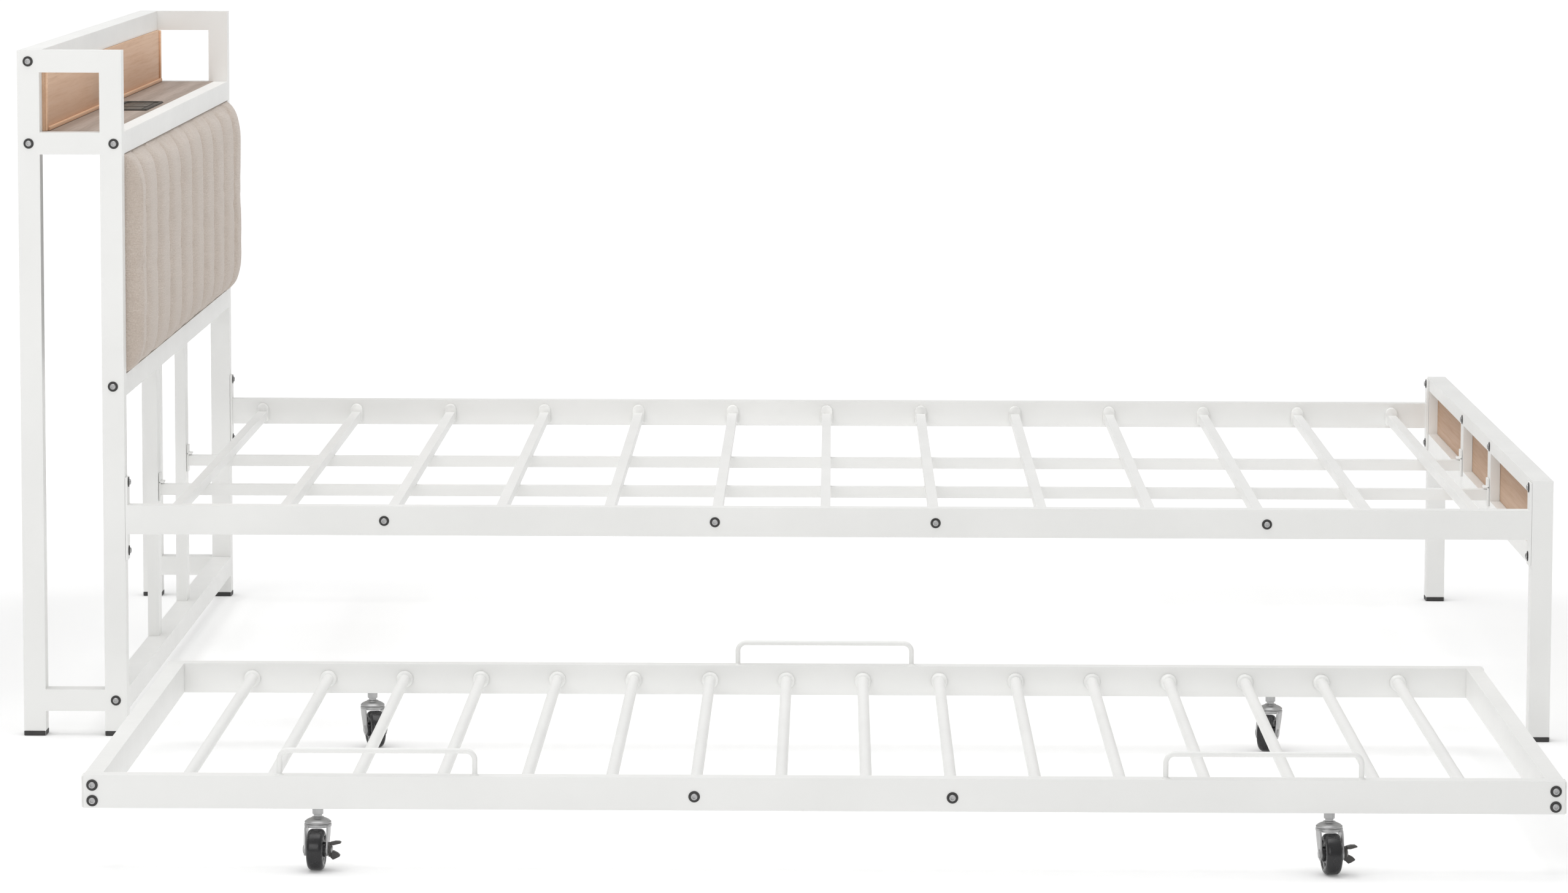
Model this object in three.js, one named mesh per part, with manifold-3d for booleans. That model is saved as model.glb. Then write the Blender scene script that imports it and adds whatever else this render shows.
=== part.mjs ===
// Trundle bed: a full-size steel tube bed with an upholstered shelf headboard, a low footboard
// with a wood panel, and a twin trundle on four swivel casters, pulled out beside it.
//
// Millimetres, +Z up. The bed's length runs along X with the head at -X, and its width along Y.
// Pieces are drawn about the middle of the mattress bay, on the floor, and one outer group then
// shifts them so that the origin is at the middle of the whole bounding box, on the floor.

import * as THREE from 'three';
import { mergeVertices } from 'three/addons/utils/BufferGeometryUtils.js';
import Module from 'manifold-3d';

const wasm = await Module();
wasm.setup();

// ---- Driving dimensions ---------------------------------------------------------------------

const GAP = 0.3; // clearance between pieces that touch
const WALL = 1.5; // tube wall
const ROUND = 8; // sides of a small round hole

// Bed
const HEAD_FACE = -962; // front of the headboard posts
const FOOT_FACE = 969; // inner face of the footboard legs
const BED_WIDTH = 1450; // over the posts
const POST = 30; // square tube of the headboard and its rails
const HEAD_HEIGHT = 944;
const HEAD_DEPTH = 142; // over the front and back posts
const SHELF_TOP = 832;
const SHELF_RAIL_DEPTH = 22;
const PAD_RAIL_TOP = 499;
const LOW_RAIL_BOTTOM = 34;
const FOOT_HEIGHT = 361;
const FOOT_DEPTH = 29; // footboard tube along X
const FOOT_TOP_RAIL = 20; // rail heights
const FOOT_LOW_RAIL = 28;
const FOOT_LOW_RAIL_BOTTOM = 243;
const SIDE_RAIL = { width: 25, height: 40, bottom: 280 };
const PLATE = { thick: 3, width: 28, bottom: 244, top: 358 }; // end plates of the side rails
const UPRIGHT = { depth: 16, width: 38 };
const FOOT_BAR_DEPTH = 14;
const CENTRE_RAIL = { size: 16, bottom: 271, y: 188 };
const SLAT = { size: 14, pitch: 151.5, count: 13 };
const BOLTED_SLATS = [1, 4]; // steps from the middle slat, each way
const BOLT_HOLE_R = 3.5;

// Boards, pad and socket of the headboard
const SHELF_BOARD_THICK = 14.7;
const TIE = { width: 25, y: 350 }; // cross ties under the shelf and stiles behind the back board
const BACK_BOARD = { front: 34, thick: 14 }; // front face measured from the headboard's back
const PAD = { thick: 35, shoulder: 9, roll: 58 };
const SOCKET = { width: 50, length: 214, depth: 37, y: -57.5, fromFront: 34, rim: 4, rimHeight: 2 };
const INLET = { x: 14, y: 22, deep: 12 };
const PANEL_THICK = 8;

// Trundle
const TRUNDLE = { length: 1790, width: 945, near: -1732, bottom: 74 };
const T_RAIL = { depth: 24, height: 40 };
const T_END_DEPTH = 22;
const T_SLAT = { r: 7.5, sides: 12, pitch: 104, count: 16 };
const T_BOLT_Z = 91;
const T_CORNER_BOLTS = [102, 83];
const T_CORNER_INSET = 11;
const RETAINER = { r: 3.25, span: 243, top: 147, bend: 11, bendSteps: 4, nearX: [-540, 532], seat: 14 };

// Casters: turn is the swivel angle about +Z, and zero trails towards +Y
const NEAR_STEM_X = [-612, 612];
const FAR_STEM_X = [-617, 608];
const TRAIL = 15;
const WHEEL = { r: 25, tread: 20, hub: 24, hubR: 9, shoulder: 5, sides: 24 };
const AXLE_R = 4;
const PIN_SIDES = 12; // sides of the axles and stems
const AXLE_CLEAR = 0.35;
const CHEEK = { inner: 12.3, thick: 2.2, boss: 8, back: -9, front: 13, waist: 44 };
const CROWN = { r: 16.5, under: 51, rim: 57, neck: 63, neckR: 8, sides: 20 };
const STEM = { r: 5, top: 104, collarR: 6.6, collarBottom: 66 };
const PEDAL = { inner: 15.3, thick: 3, pinEnd: 1.5 };

// ---- Derived places -------------------------------------------------------------------------

const headBack = HEAD_FACE - HEAD_DEPTH;
const footBack = FOOT_FACE + FOOT_DEPTH;
const side = BED_WIDTH / 2;
const innerSide = side - POST;
const centreTop = CENTRE_RAIL.bottom + CENTRE_RAIL.size;
const slatCentreZ = centreTop + GAP + SLAT.size / 2;
const railCentreZ = SIDE_RAIL.bottom + SIDE_RAIL.height / 2;
const railInner = side - SIDE_RAIL.width;
const tFar = TRUNDLE.near + TRUNDLE.width;
const tTop = TRUNDLE.bottom + T_RAIL.height;
const tSlatZ = TRUNDLE.bottom + T_RAIL.height / 2;
const tNearStemY = TRUNDLE.near + T_RAIL.depth / 2;
const tFarStemY = tFar - T_RAIL.depth / 2;

// ---- Solids ---------------------------------------------------------------------------------

function block([x0, x1], [y0, y1], [z0, z1]) {
  const box = new THREE.BoxGeometry(x1 - x0, y1 - y0, z1 - z0);
  return box.translate((x0 + x1) / 2, (y0 + y1) / 2, (z0 + z1) / 2);
}

function rod(axis, r, from, to, [a, b], sides = ROUND) {
  const bar = new THREE.CylinderGeometry(r, r, to - from, sides).translate(0, (from + to) / 2, 0);
  if (axis === 'x') return bar.rotateZ(-Math.PI / 2).translate(0, a, b);
  if (axis === 'z') return bar.rotateX(Math.PI / 2).translate(a, b, 0);
  return bar.translate(a, 0, b);
}

// A flat outline in Y and Z, given thickness along X
function plateX(outline, x0, x1) {
  const slab = new THREE.ExtrudeGeometry(outline, { depth: x1 - x0, bevelEnabled: false, curveSegments: 6 });
  slab.applyMatrix4(new THREE.Matrix4().makeBasis(
    new THREE.Vector3(0, 1, 0), new THREE.Vector3(0, 0, 1), new THREE.Vector3(1, 0, 0)));
  return slab.translate(x0, 0, 0);
}

// A flat outline in X and Z, given thickness along Y
function plateY(outline, y0, y1) {
  const slab = new THREE.ExtrudeGeometry(outline, { depth: y1 - y0, bevelEnabled: false, curveSegments: 8 });
  return slab.rotateX(Math.PI / 2).translate(0, y1, 0);
}

function toSolid(geometry) {
  const bare = geometry.clone();
  bare.deleteAttribute('normal');
  bare.deleteAttribute('uv');
  const merged = mergeVertices(bare, 1e-4);
  return new wasm.Manifold(new wasm.Mesh({
    numProp: 3,
    vertProperties: new Float32Array(merged.attributes.position.array),
    triVerts: new Uint32Array(merged.index.array),
  }));
}

const union = (shapes) => shapes.map(toSolid).reduce((whole, next) => whole.add(next));

function carve(shapes, cuts = []) {
  const body = cuts.length ? union(shapes).subtract(union(cuts)) : union(shapes);
  const mesh = body.getMesh();
  const geometry = new THREE.BufferGeometry();
  geometry.setAttribute('position', new THREE.BufferAttribute(new Float32Array(mesh.vertProperties), 3));
  geometry.setIndex(new THREE.BufferAttribute(new Uint32Array(mesh.triVerts), 1));
  return geometry;
}

// A square tube along axis 0, 1 or 2. Its ends are shut, open, or run into the next tube's bore.
const SHUT = -WALL;
const OPEN = 1;
const INTO = 8;

function tube(axis, spans, low = SHUT, high = SHUT) {
  const hollow = spans.map(([a, b], i) => (i === axis ? [a - low, b + high] : [a + WALL, b - WALL]));
  return { skin: block(...spans), bore: block(...hollow) };
}

const weld = (tubes, extras = [], cuts = []) =>
  carve([...tubes.map((t) => t.skin), ...extras], [...tubes.map((t) => t.bore), ...cuts]);

// ---- Materials ------------------------------------------------------------------------------

const finish = (color, roughness, metalness = 0) =>
  new THREE.MeshStandardMaterial({ color, roughness, metalness });

const whiteSteel = finish(0xf0f0ee, 0.4);
const oak = finish(0xc69e7c, 0.6);
const shelfWood = finish(0xa89a8e, 0.6);
const padFabric = finish(0xc6b8ac, 0.95);
const darkPlastic = finish(0x2b2a29, 0.5);
const zincSteel = finish(0xa6a8a8, 0.35, 0.9);
const blackTyre = finish(0x1d1e20, 0.45);

function piece(name, geometry, material, [x, y, z] = [0, 0, 0]) {
  const mesh = new THREE.Mesh(geometry, material);
  mesh.name = name;
  mesh.position.set(x, y, z);
  return mesh;
}

const mirrorY = ([a, b], sign) => (sign < 0 ? [-b, -a] : [a, b]);
const about = (centre, width) => [centre - width / 2, centre + width / 2];

// ---- Headboard ------------------------------------------------------------------------------

const frontPost = [HEAD_FACE - POST, HEAD_FACE];
const backPost = [headBack, headBack + POST];
const shelfRailX = [HEAD_FACE - SHELF_RAIL_DEPTH, HEAD_FACE];
const padRailZ = [PAD_RAIL_TOP - POST, PAD_RAIL_TOP];
const lowRailZ = [LOW_RAIL_BOTTOM, LOW_RAIL_BOTTOM + POST];
const midRailZ = [SHELF_TOP - POST, SHELF_TOP];
const topRailZ = [HEAD_HEIGHT - POST, HEAD_HEIGHT];
const middle = ([a, b]) => (a + b) / 2;

function headSideFrame(sign) {
  const y = mirrorY([innerSide, side], sign);
  const between = [backPost[1], frontPost[0]];
  const tubes = [
    tube(2, [backPost, y, [0, HEAD_HEIGHT]]),
    tube(2, [frontPost, y, [0, HEAD_HEIGHT]]),
    ...[topRailZ, midRailZ, lowRailZ].map((z) => tube(0, [between, y, z], INTO, INTO)),
  ];
  const bolts = [
    [middle(backPost), middle(topRailZ)],
    [middle(backPost), middle(midRailZ)],
    [middle(shelfRailX), middle(midRailZ)],
    [middle(frontPost), middle(padRailZ)],
    [middle(frontPost), middle(lowRailZ)],
  ];
  return weld(tubes, [], bolts.map((at) => rod('y', BOLT_HOLE_R, y[0] - 1, y[1] + 1, at)));
}

// The shelf's front and rear rails with the rear top rail, tied under the shelf and behind the board
function shelfFrame() {
  const y = [-innerSide + GAP, innerSide - GAP];
  const ties = [-TIE.y, TIE.y].flatMap((at) => [
    tube(0, [[backPost[1], shelfRailX[0]], about(at, TIE.width),
      [midRailZ[0], SHELF_TOP - SHELF_BOARD_THICK - GAP]], INTO, INTO),
    tube(2, [[headBack, headBack + 14], about(at, TIE.width), [SHELF_TOP, topRailZ[0]]], INTO, INTO),
  ]);
  return weld([
    tube(1, [shelfRailX, y, midRailZ], OPEN, OPEN),
    tube(1, [backPost, y, midRailZ], OPEN, OPEN),
    tube(1, [backPost, y, topRailZ], OPEN, OPEN),
    ...ties,
  ]);
}

// The rail under the pad and the rail near the floor, with two uprights that carry the centre rails
function headLowerFrame() {
  const y = [-innerSide + GAP, innerSide - GAP];
  const uprights = [-CENTRE_RAIL.y, CENTRE_RAIL.y].map((at) =>
    tube(2, [[frontPost[0], frontPost[0] + UPRIGHT.depth], about(at, UPRIGHT.width),
      [lowRailZ[1], padRailZ[0]]], INTO, INTO));
  return weld([
    tube(1, [frontPost, y, padRailZ], OPEN, OPEN),
    tube(1, [frontPost, y, lowRailZ], OPEN, OPEN),
    ...uprights,
  ]);
}

const socketX = about(HEAD_FACE - SOCKET.fromFront - SOCKET.width / 2, SOCKET.width);
const socketY = about(SOCKET.y, SOCKET.length);
const grow = ([a, b], by) => [a - by, b + by];

// The shelf starts in front of the back board, which stands partly over the rear rail
function shelfBoard() {
  const x = [headBack + BACK_BOARD.front + GAP, shelfRailX[0] - GAP];
  const board = block(x, [-innerSide + GAP, innerSide - GAP], [SHELF_TOP - SHELF_BOARD_THICK, SHELF_TOP]);
  const cutOut = block(grow(socketX, GAP), grow(socketY, GAP), [SHELF_TOP - 30, SHELF_TOP + 10]);
  const rebate = block(grow(socketX, SOCKET.rim + GAP), grow(socketY, SOCKET.rim + GAP),
    [SHELF_TOP - SOCKET.rimHeight, SHELF_TOP + 10]);
  return carve([board], [cutOut, rebate]);
}

function backBoard() {
  const x = [headBack + BACK_BOARD.front - BACK_BOARD.thick, headBack + BACK_BOARD.front];
  return block(x, [-innerSide + GAP, innerSide - GAP], [SHELF_TOP + GAP, topRailZ[0] - GAP]);
}

// The pad's section: flat at the back, and rolled over at the top and bottom of its front
function headboardPad() {
  const back = frontPost[0] + UPRIGHT.depth + 1;
  const front = back + PAD.thick;
  const low = PAD_RAIL_TOP + GAP;
  const high = midRailZ[0] - GAP;
  const shoulder = back + PAD.shoulder;
  const section = new THREE.Shape();
  section.moveTo(back, low);
  section.lineTo(shoulder, low);
  section.bezierCurveTo(front - 6, low, front, low + PAD.roll * 0.4, front, low + PAD.roll);
  section.lineTo(front, high - PAD.roll);
  section.bezierCurveTo(front, high - PAD.roll * 0.4, front - 6, high, shoulder, high);
  section.lineTo(back, high);
  return plateY(section, -innerSide + 2 * GAP, innerSide - 2 * GAP);
}

// A charging station let into the shelf: its rim lies in a rebate, and a mains inlet is underneath
function powerSocket() {
  const low = SHELF_TOP - SOCKET.depth;
  const rimZ = [SHELF_TOP - SOCKET.rimHeight + GAP, SHELF_TOP + GAP];
  const body = block(socketX, socketY, [low, rimZ[1]]);
  const rim = block(grow(socketX, SOCKET.rim), grow(socketY, SOCKET.rim), rimZ);
  const inlet = block(about(middle(socketX), INLET.x), about(middle(socketY), INLET.y),
    [low - 1, low + INLET.deep]);
  return carve([body, rim], [inlet]);
}

// ---- Footboard ------------------------------------------------------------------------------

const footLowZ = [FOOT_LOW_RAIL_BOTTOM, FOOT_LOW_RAIL_BOTTOM + FOOT_LOW_RAIL];
const footTopZ = [FOOT_HEIGHT - FOOT_TOP_RAIL, FOOT_HEIGHT];
const plateY0 = side - PLATE.width / 2;
const plateBolts = [PLATE.top - 7, PLATE.bottom + 12];

function footboardFrame() {
  const x = [FOOT_FACE, footBack];
  const legs = [-1, 1].map((sign) => tube(2, [x, mirrorY([innerSide, side], sign), [0, FOOT_HEIGHT]]));
  const rails = [footTopZ, footLowZ].map((z) => tube(1, [x, [-innerSide, innerSide], z], INTO, INTO));
  const bars = [-CENTRE_RAIL.y, CENTRE_RAIL.y].map((at) =>
    tube(2, [[FOOT_FACE, FOOT_FACE + FOOT_BAR_DEPTH], about(at, UPRIGHT.width),
      [footLowZ[1], footTopZ[0]]], INTO, INTO));
  const holes = [-plateY0, plateY0].flatMap((y) =>
    plateBolts.map((z) => rod('x', BOLT_HOLE_R, FOOT_FACE - 1, FOOT_FACE + 2 * WALL, [y, z])));
  return weld([...legs, ...rails, ...bars], [], holes);
}

const panelFace = FOOT_FACE + FOOT_BAR_DEPTH + GAP;
const footboardPanel = () => block([panelFace, panelFace + PANEL_THICK],
  [-innerSide + GAP, innerSide - GAP], [footLowZ[1] + GAP, footTopZ[0] - GAP]);

// ---- Side rails, centre rails and slats -----------------------------------------------------

// A bolted plate at each end stands against the headboard post or the footboard leg
function sideRail(sign) {
  const y = mirrorY([railInner, side], sign);
  const ends = [HEAD_FACE + GAP, FOOT_FACE - GAP];
  const barX = [ends[0] + PLATE.thick, ends[1] - PLATE.thick];
  const plates = [[ends[0], barX[0]], [barX[1], ends[1]]].map((x) =>
    block(x, mirrorY([side - PLATE.width, side], sign), [PLATE.bottom, PLATE.top]));
  const slatHoles = BOLTED_SLATS.flatMap((step) => [-step, step]).map((step) =>
    rod('y', BOLT_HOLE_R, y[0] - 1, y[1] + 1, [step * SLAT.pitch, railCentreZ]));
  const plateHoles = ends.flatMap((x) => plateBolts.map((at) =>
    rod('x', BOLT_HOLE_R, x - 5, x + 5, [sign * plateY0, at])));
  const bar = tube(0, [barX, y, [SIDE_RAIL.bottom, SIDE_RAIL.bottom + SIDE_RAIL.height]], SHUT, SHUT);
  return weld([bar], plates, [...slatHoles, ...plateHoles]);
}

function centreRail() {
  const half = CENTRE_RAIL.size / 2;
  const x = [frontPost[0] + UPRIGHT.depth + GAP, FOOT_FACE - GAP];
  return weld([tube(0, [x, [-half, half], [CENTRE_RAIL.bottom, centreTop]], OPEN, OPEN)]);
}

function bedSlat() {
  const half = SLAT.size / 2;
  return weld([tube(1, [[-half, half], [-railInner + GAP, railInner - GAP], [-half, half]], OPEN, OPEN)]);
}

// ---- Trundle --------------------------------------------------------------------------------

const retainerLegX = RETAINER.span / 2 - RETAINER.r;

// A long rail, drilled for slat bolts, corner bolts, the two caster stems and the retainer legs
function trundleLongRail(stemXs, retainerCentres) {
  const half = TRUNDLE.length / 2;
  const y = about(0, T_RAIL.depth);
  const z = [TRUNDLE.bottom, tTop];
  const through = (x, at) => rod('y', BOLT_HOLE_R, y[0] - 1, y[1] + 1, [x, at]);
  const slatBolts = [-1.5, 1.5].map((step) => through(step * T_SLAT.pitch, T_BOLT_Z));
  const cornerBolts = [-1, 1].flatMap((sign) =>
    T_CORNER_BOLTS.map((at) => through(sign * (half - T_CORNER_INSET), at)));
  const stems = stemXs.map((x) =>
    rod('z', STEM.r + 2 * GAP, z[0] - 1, z[0] + 2 * WALL, [x, 0]));
  const legs = retainerCentres.flatMap((x) => [x - retainerLegX, x + retainerLegX]).map((x) =>
    rod('z', RETAINER.r + 2 * GAP, z[1] - 2 * WALL, z[1] + 1, [x, 0]));
  return weld([tube(0, [[-half, half], y, z], OPEN, OPEN)], [],
    [...slatBolts, ...cornerBolts, ...stems, ...legs]);
}

function trundleEndRail() {
  const half = TRUNDLE.width / 2 - T_RAIL.depth - GAP;
  return weld([tube(1, [about(0, T_END_DEPTH), [-half, half], [TRUNDLE.bottom, tTop]], OPEN, OPEN)]);
}

function trundleSlat() {
  const half = TRUNDLE.width / 2 - T_RAIL.depth - GAP;
  const bar = rod('y', T_SLAT.r, -half, half, [0, 0], T_SLAT.sides);
  const bore = rod('y', T_SLAT.r - WALL, -half - 1, half + 1, [0, 0], T_SLAT.sides);
  return carve([bar], [bore]);
}

// A path that steps evenly from point to point, whatever their spacing
class BentWire extends THREE.Curve {
  constructor(points) {
    super();
    this.points = points;
  }

  getPoint(t, target = new THREE.Vector3()) {
    const place = t * (this.points.length - 1);
    const i = Math.min(Math.floor(place), this.points.length - 2);
    return target.lerpVectors(this.points[i], this.points[i + 1], place - i);
  }

  getPointAt(u, target) {
    return this.getPoint(u, target);
  }

  getTangentAt(u, target) {
    return this.getTangent(u, target);
  }
}

// A U of round wire whose legs stand in the rail
function retainer() {
  const { r, bend, top, seat, bendSteps } = RETAINER;
  const bendX = retainerLegX - bend;
  const bendZ = top - r - bend;
  const turn = (x, from) => Array.from({ length: bendSteps + 1 }, (_, i) => {
    const angle = from - (i / bendSteps) * (Math.PI / 2);
    return new THREE.Vector3(x + bend * Math.cos(angle), 0, bendZ + bend * Math.sin(angle));
  });
  const path = new BentWire([
    new THREE.Vector3(-retainerLegX, 0, tTop - seat),
    ...turn(-bendX, Math.PI),
    ...turn(bendX, Math.PI / 2),
    new THREE.Vector3(retainerLegX, 0, tTop - seat),
  ]);
  const ring = new THREE.Shape().absarc(0, 0, r, 0, 2 * Math.PI);
  return carve([new THREE.ExtrudeGeometry(ring, {
    steps: path.points.length - 1, curveSegments: ROUND, bevelEnabled: false, extrudePath: path,
  })]);
}

// ---- Casters: the stem stands at the origin, with the floor at z = 0 and the axle along X -----

// A turned section: a bored hub, flat sides and a tread with rounded shoulders
function wheel() {
  const { r, tread, hub, hubR, shoulder, sides } = WHEEL;
  const bore = AXLE_R + AXLE_CLEAR;
  const corner = [0, 1, 2, 3].map((i) => {
    const angle = (i / 3) * (Math.PI / 2);
    return [r - shoulder + shoulder * Math.sin(angle), tread / 2 - shoulder + shoulder * Math.cos(angle)];
  });
  const upper = [...corner].reverse();
  const lower = corner.map(([x, y]) => [x, -y]);
  const profile = [
    [bore, -hub / 2], [hubR, -hub / 2], [hubR, -tread / 2], ...lower, ...upper,
    [hubR, tread / 2], [hubR, hub / 2], [bore, hub / 2], [bore, -hub / 2],
  ].map(([x, y]) => new THREE.Vector2(x, y));
  return new THREE.LatheGeometry(profile, sides).rotateZ(-Math.PI / 2);
}

// A bent yoke under a round crown, with the stem, its collar and the axle
function fork(braked) {
  const { inner, thick, boss, back, front, waist } = CHEEK;
  const outer = inner + thick;
  const web = CROWN.under + thick;
  const outline = new THREE.Shape();
  outline.moveTo(back, web);
  outline.lineTo(back + 1, waist);
  outline.absarc(TRAIL, WHEEL.r, boss, (215 * Math.PI) / 180, (380 * Math.PI) / 180, false);
  outline.lineTo(front + 5, waist);
  outline.lineTo(front, web);
  const crown = new THREE.CylinderGeometry(CROWN.r, CROWN.r, CROWN.rim - web + 1, CROWN.sides);
  const dome = new THREE.CylinderGeometry(CROWN.neckR, CROWN.r - 1, CROWN.neck - CROWN.rim, CROWN.sides);
  const pin = braked ? PEDAL.inner + PEDAL.thick : outer;
  return carve([
    plateX(outline, -outer, -inner),
    plateX(outline, inner, outer),
    block([-outer, outer], [back, front], [CROWN.under, web]),
    crown.rotateX(Math.PI / 2).translate(0, 0, (CROWN.rim + web - 1) / 2),
    dome.rotateX(Math.PI / 2).translate(0, 0, (CROWN.rim + CROWN.neck) / 2 - 0.1),
    rod('x', AXLE_R, -pin - PEDAL.pinEnd, outer + PEDAL.pinEnd, [TRAIL, WHEEL.r], PIN_SIDES),
    rod('z', STEM.r, CROWN.rim, STEM.top, [0, 0], PIN_SIDES),
    rod('z', STEM.collarR, STEM.collarBottom, TRUNDLE.bottom - GAP, [0, 0], PIN_SIDES),
  ]);
}

// A rocker on the axle's end with an upper and a lower foot tab
function brakePedal() {
  const inner = -PEDAL.inner;
  const outer = inner - PEDAL.thick;
  const rocker = new THREE.Shape();
  rocker.absarc(TRAIL, WHEEL.r, 7.5, Math.PI, 1.5 * Math.PI, false);
  rocker.lineTo(TRAIL + 5, WHEEL.r - 9);
  rocker.lineTo(TRAIL + 8, WHEEL.r + 6);
  rocker.lineTo(TRAIL + 6, WHEEL.r + 11);
  rocker.lineTo(TRAIL - 4, WHEEL.r + 8);
  const corner = (out, up) => new THREE.Vector2(outer + 1 - out, WHEEL.r + up);
  const lower = new THREE.Shape([
    corner(0, -1), corner(4, -1.5), corner(11, -6), corner(11.5, -8), corner(3, -12), corner(0, -9),
  ]);
  const upper = new THREE.Shape([
    corner(0, 6), corner(6, 7.5), corner(12, 8), corner(13.5, 9.5), corner(11, 11), corner(4, 11),
    corner(0, 9.5),
  ]);
  return carve(
    [plateX(rocker, outer, inner), plateY(lower, TRAIL - 5, TRAIL + 4), plateY(upper, TRAIL - 2, TRAIL + 8)],
    [rod('x', AXLE_R + AXLE_CLEAR, outer - 6, inner + 1, [TRAIL, WHEEL.r], PIN_SIDES)],
  );
}

// ---- Assembly -------------------------------------------------------------------------------

const bed = new THREE.Group();
for (const [sign, word] of [[-1, 'near'], [1, 'far']]) {
  bed.add(piece(`head_side_frame_${word}`, headSideFrame(sign), whiteSteel));
  bed.add(piece(`side_rail_${word}`, sideRail(sign), whiteSteel));
  bed.add(piece(`centre_rail_${word}`, centreRail(), whiteSteel, [0, sign * CENTRE_RAIL.y, 0]));
}
bed.add(piece('shelf_frame', shelfFrame(), whiteSteel));
bed.add(piece('head_lower_frame', headLowerFrame(), whiteSteel));
bed.add(piece('shelf_board', shelfBoard(), shelfWood));
bed.add(piece('back_board', backBoard(), oak));
bed.add(piece('headboard_pad', headboardPad(), padFabric));
bed.add(piece('power_socket', powerSocket(), darkPlastic));
bed.add(piece('footboard_frame', footboardFrame(), whiteSteel));
bed.add(piece('footboard_panel', footboardPanel(), oak));

const numbered = (stem, i) => `${stem}_${String(i + 1).padStart(2, '0')}`;
const slatShape = bedSlat();
for (let i = 0; i < SLAT.count; i += 1) {
  const x = (i - (SLAT.count - 1) / 2) * SLAT.pitch;
  bed.add(piece(numbered('slat', i), slatShape, whiteSteel, [x, 0, slatCentreZ]));
}

const trundle = new THREE.Group();
const tMiddleY = TRUNDLE.near + TRUNDLE.width / 2;
const tEndX = (TRUNDLE.length - T_END_DEPTH) / 2;
const nearRail = trundleLongRail(NEAR_STEM_X, RETAINER.nearX);
trundle.add(piece('trundle_rail_near', nearRail, whiteSteel, [0, tNearStemY, 0]));
trundle.add(piece('trundle_rail_far', trundleLongRail(FAR_STEM_X, [0]), whiteSteel, [0, tFarStemY, 0]));
trundle.add(piece('trundle_rail_head', trundleEndRail(), whiteSteel, [-tEndX, tMiddleY, 0]));
trundle.add(piece('trundle_rail_foot', trundleEndRail(), whiteSteel, [tEndX, tMiddleY, 0]));
const loopShape = retainer();
trundle.add(piece('retainer_near_head', loopShape, whiteSteel, [RETAINER.nearX[0], tNearStemY, 0]));
trundle.add(piece('retainer_near_foot', loopShape, whiteSteel, [RETAINER.nearX[1], tNearStemY, 0]));
trundle.add(piece('retainer_far', loopShape, whiteSteel, [0, tFarStemY, 0]));
const roundSlat = trundleSlat();
for (let i = 0; i < T_SLAT.count; i += 1) {
  const x = (i - (T_SLAT.count - 1) / 2) * T_SLAT.pitch;
  trundle.add(piece(numbered('trundle_slat', i), roundSlat, whiteSteel, [x, tMiddleY, tSlatZ]));
}

const casters = [
  { name: 'near_head', x: NEAR_STEM_X[0], y: tNearStemY, turn: 177, braked: true },
  { name: 'near_foot', x: NEAR_STEM_X[1], y: tNearStemY, turn: 187, braked: true },
  { name: 'far_head', x: FAR_STEM_X[0], y: tFarStemY, turn: 198, braked: false },
  { name: 'far_foot', x: FAR_STEM_X[1], y: tFarStemY, turn: 162, braked: false },
];
const wheelShape = wheel();
for (const { name, x, y, turn, braked } of casters) {
  const caster = new THREE.Group();
  caster.position.set(x, y, 0);
  caster.rotation.z = THREE.MathUtils.degToRad(turn);
  caster.add(piece(`caster_fork_${name}`, fork(braked), zincSteel));
  caster.add(piece(`caster_wheel_${name}`, wheelShape, blackTyre, [0, TRAIL, WHEEL.r]));
  if (braked) caster.add(piece(`brake_pedal_${name}`, brakePedal(), darkPlastic));
  trundle.add(caster);
}

const group = new THREE.Group();
group.add(bed, trundle);
const centre = new THREE.Box3().setFromObject(group).getCenter(new THREE.Vector3());
group.position.set(-centre.x, -centre.y, 0);

export default group;
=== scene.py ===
"""Trundle bed: the looks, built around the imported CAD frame. Metres, +Z up, head at -X."""
import math

import bmesh
import bpy
from mathutils import Matrix, Vector, noise


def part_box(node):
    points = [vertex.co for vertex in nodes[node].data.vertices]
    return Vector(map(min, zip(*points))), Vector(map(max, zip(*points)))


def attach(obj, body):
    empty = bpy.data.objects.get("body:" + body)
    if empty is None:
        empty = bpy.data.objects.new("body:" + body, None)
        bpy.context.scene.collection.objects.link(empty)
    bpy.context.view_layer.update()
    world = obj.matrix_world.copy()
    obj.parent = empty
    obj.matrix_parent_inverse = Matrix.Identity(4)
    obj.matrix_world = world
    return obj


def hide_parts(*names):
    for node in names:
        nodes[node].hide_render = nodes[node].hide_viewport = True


MM = 0.001
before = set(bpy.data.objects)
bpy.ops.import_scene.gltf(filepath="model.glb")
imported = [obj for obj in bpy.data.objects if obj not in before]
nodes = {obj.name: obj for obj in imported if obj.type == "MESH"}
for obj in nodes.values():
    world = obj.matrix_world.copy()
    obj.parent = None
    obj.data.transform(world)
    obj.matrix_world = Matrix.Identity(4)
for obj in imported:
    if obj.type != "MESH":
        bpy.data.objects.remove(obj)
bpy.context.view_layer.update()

# ---- Places, worked out from the frame --------------------------------------------------------

HEAD_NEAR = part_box("head_side_frame_near")
HEAD_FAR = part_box("head_side_frame_far")
T_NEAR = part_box("trundle_rail_near")
T_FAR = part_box("trundle_rail_far")
SLATS = [f"slat_{i:02d}" for i in range(1, 14)]
T_SLATS = [f"trundle_slat_{i:02d}" for i in range(1, 17)]
MIDDLE_Y = (HEAD_NEAR[0].y + HEAD_FAR[1].y) / 2
SLAT_MIDDLE_X = (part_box("slat_01")[0].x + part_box("slat_13")[1].x) / 2
SLAT_LINE = Vector((SLAT_MIDDLE_X, MIDDLE_Y, 0))

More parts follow.
